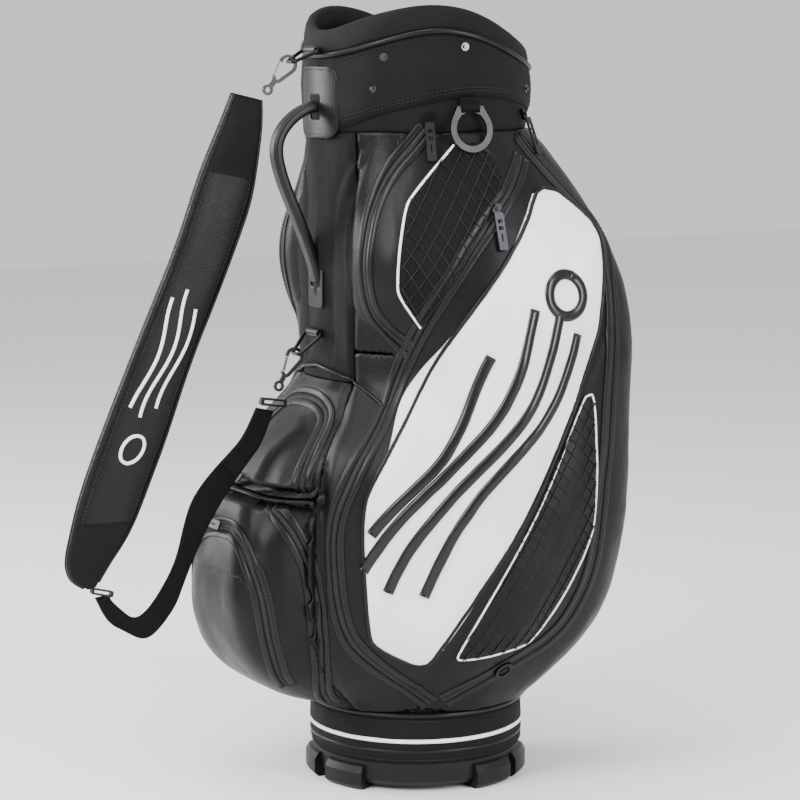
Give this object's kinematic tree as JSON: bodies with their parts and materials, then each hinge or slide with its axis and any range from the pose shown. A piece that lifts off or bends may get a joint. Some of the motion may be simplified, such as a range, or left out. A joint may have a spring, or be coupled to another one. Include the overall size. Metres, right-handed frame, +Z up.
{
  "type": "golf staff bag",
  "caption": "Leather golf staff bag with padded side and ball pockets, moulded cuff and base, club divider, grab handle, towel ring and padded shoulder strap.",
  "frame": {"origin": "centre of the base's underside", "axes": "+Z up, the spine with its handle and strap faces -Y, the side pockets face +X and -X"},
  "size_m": [0.405, 0.6274, 0.8794],
  "materials": {
    "leather": "grained, semi-gloss",
    "leather_pale": "smooth coated",
    "leather_edge": "smooth semi-gloss",
    "fabric_mesh": "fine mesh",
    "fabric_body": "woven",
    "webbing": "ribbed woven",
    "piping_pale": "smooth gloss",
    "plastic_black": "fine textured",
    "plastic_grey": "fine textured",
    "divider_fabric": "brushed",
    "steel_dark": "gunmetal plated",
    "steel_bright": "polished",
    "handle_grip": "soft-touch"
  },
  "bodies": {
    "bag": {"base_cup": "plastic_black", "base_feet": "plastic_black", "base_band": "fabric_body", "base_piping": "piping_pale", "base_binding": "leather_edge", "body_tube": "plastic_black", "divider_top": "plastic_grey", "divider_panels": "divider_fabric", "body_neck": "fabric_body", "cuff": "leather", "cuff_binding": "leather_edge", "cuff_rim": "leather_edge", "hood_studs": "steel_bright", "spine_panel": "leather", "tee_pocket": "leather", "ball_pocket": "leather", "ball_pocket_front": "leather", "upper_pocket_right": "fabric_mesh", "upper_pocket_left": "fabric_mesh", "main_pocket_right": "leather", "main_pocket_left": "leather", "rear_panel": "leather", "side_panel_right": "leather_pale", "side_panel_left": "leather_pale", "handle": "handle_grip", "handle_bracket": "leather_edge", "handle_anchor": "leather_edge", "strap_ring_upper": "steel_dark", "strap_ring_lower": "steel_dark", "ring_tab_upper": "leather_edge", "ring_tab_lower": "leather_edge", "zip_tracks": "plastic_black", "towel_loop": "webbing", "drain_grommet": "steel_dark", "rear_sliders": "steel_dark"},
    "strap": {"strap_pad": "leather", "strap_webbing": "webbing", "strap_slide": "steel_dark", "strap_buckle": "steel_dark", "hook_upper": "steel_dark", "hook_lower": "steel_dark"},
    "hook_upper_gate": {"hook_upper_gate": "steel_bright"},
    "hook_lower_gate": {"hook_lower_gate": "steel_bright"},
    "towel_ring": {"towel_ring": "steel_dark"},
    "slider_main_right": {"slider_main_right": "steel_dark"},
    "pull_main_right": {"pull_main_right": "steel_dark"},
    "slider_main_left": {"slider_main_left": "steel_dark"},
    "pull_main_left": {"pull_main_left": "steel_dark"},
    "slider_upper_right": {"slider_upper_right": "steel_dark"},
    "pull_upper_right": {"pull_upper_right": "steel_dark"},
    "slider_upper_left": {"slider_upper_left": "steel_dark"},
    "pull_upper_left": {"pull_upper_left": "steel_dark"},
    "slider_ball": {"slider_ball": "steel_dark"},
    "pull_ball": {"pull_ball": "steel_dark"},
    "slider_front": {"slider_front": "steel_dark"},
    "pull_front": {"pull_front": "steel_dark"},
    "pull_rear_right": {"pull_rear_right": "steel_dark"},
    "pull_rear_left": {"pull_rear_left": "steel_dark"}
  },
  "joints": [
    {"name": "strap_swing", "type": "hinge", "parent": "bag", "child": "strap", "pos_m": [0, -0.16, 0.816], "axis": [0, -0.0155, 0.9999], "range_deg": [-14, 14]},
    {"name": "hook_upper_gate", "type": "hinge", "parent": "strap", "child": "hook_upper_gate", "pos_m": [0, -0.17851, 0.80288], "axis": [-1, 0, 0], "range_deg": [0, 20], "stiffness_Nm_per_rad": 0.02},
    {"name": "hook_lower_gate", "type": "hinge", "parent": "strap", "child": "hook_lower_gate", "pos_m": [0, -0.17068, 0.4766], "axis": [-1, 0, 0], "range_deg": [0, 20], "stiffness_Nm_per_rad": 0.02},
    {"name": "towel_ring", "type": "hinge", "parent": "bag", "child": "towel_ring", "pos_m": [0.13148, -0.00919, 0.767], "axis": [-0.0698, -0.9976, 0], "range_deg": [0, 100]},
    {"name": "slide_main_right", "type": "slide", "parent": "bag", "child": "slider_main_right", "axis": [0.0947, -0.6521, -0.7522], "range_m": [0, 0.0544]},
    {"name": "turn_pull_main_right", "type": "hinge", "parent": "slider_main_right", "child": "pull_main_right", "pos_m": [0.16406, 0.0074, 0.65483], "axis": [-0.2072, -0.9768, -0.0541], "range_deg": [0, 100]},
    {"name": "slide_main_left", "type": "slide", "parent": "bag", "child": "slider_main_left", "axis": [-0.0947, -0.6521, -0.7522], "range_m": [0, 0.0544]},
    {"name": "turn_pull_main_left", "type": "hinge", "parent": "slider_main_left", "child": "pull_main_left", "pos_m": [-0.16406, 0.0074, 0.65483], "axis": [-0.2072, 0.9768, 0.0541], "range_deg": [0, 100]},
    {"name": "slide_upper_right", "type": "slide", "parent": "bag", "child": "slider_upper_right", "axis": [-0.2475, -0.531, -0.8104], "range_m": [0, 0.0245]},
    {"name": "turn_pull_upper_right", "type": "hinge", "parent": "slider_upper_right", "child": "pull_upper_right", "pos_m": [0.12025, -0.0533, 0.75224], "axis": [-0.531, -0.8435, -0.0814], "range_deg": [0, 100]},
    {"name": "slide_upper_left", "type": "slide", "parent": "bag", "child": "slider_upper_left", "axis": [0.2475, -0.531, -0.8104], "range_m": [0, 0.0245]},
    {"name": "turn_pull_upper_left", "type": "hinge", "parent": "slider_upper_left", "child": "pull_upper_left", "pos_m": [-0.12025, -0.0533, 0.75224], "axis": [-0.531, 0.8435, 0.0814], "range_deg": [0, 100]},
    {"name": "slide_ball", "type": "slide", "parent": "bag", "child": "slider_ball", "axis": [1, 0, 0], "range_m": [0, 0.0295]},
    {"name": "turn_pull_ball", "type": "hinge", "parent": "slider_ball", "child": "pull_ball", "pos_m": [-0.0454, -0.22234, 0.35693], "axis": [0, -0.6392, -0.769], "range_deg": [0, 100]},
    {"name": "slide_front", "type": "slide", "parent": "bag", "child": "slider_front", "axis": [1, 0, 0], "range_m": [0, 0.0575]},
    {"name": "turn_pull_front", "type": "hinge", "parent": "slider_front", "child": "pull_front", "pos_m": [-0.0454, -0.24894, 0.30609], "axis": [0, -0.3312, -0.9435], "range_deg": [0, 100]},
    {"name": "turn_pull_rear_right", "type": "hinge", "parent": "bag", "child": "pull_rear_right", "pos_m": [0.10764, 0.07956, 0.75442], "axis": [0.5078, -0.8511, -0.1334], "range_deg": [0, 100]},
    {"name": "turn_pull_rear_left", "type": "hinge", "parent": "bag", "child": "pull_rear_left", "pos_m": [-0.10764, 0.07956, 0.75442], "axis": [0.5078, 0.8511, 0.1334], "range_deg": [0, 100]}
  ]
}
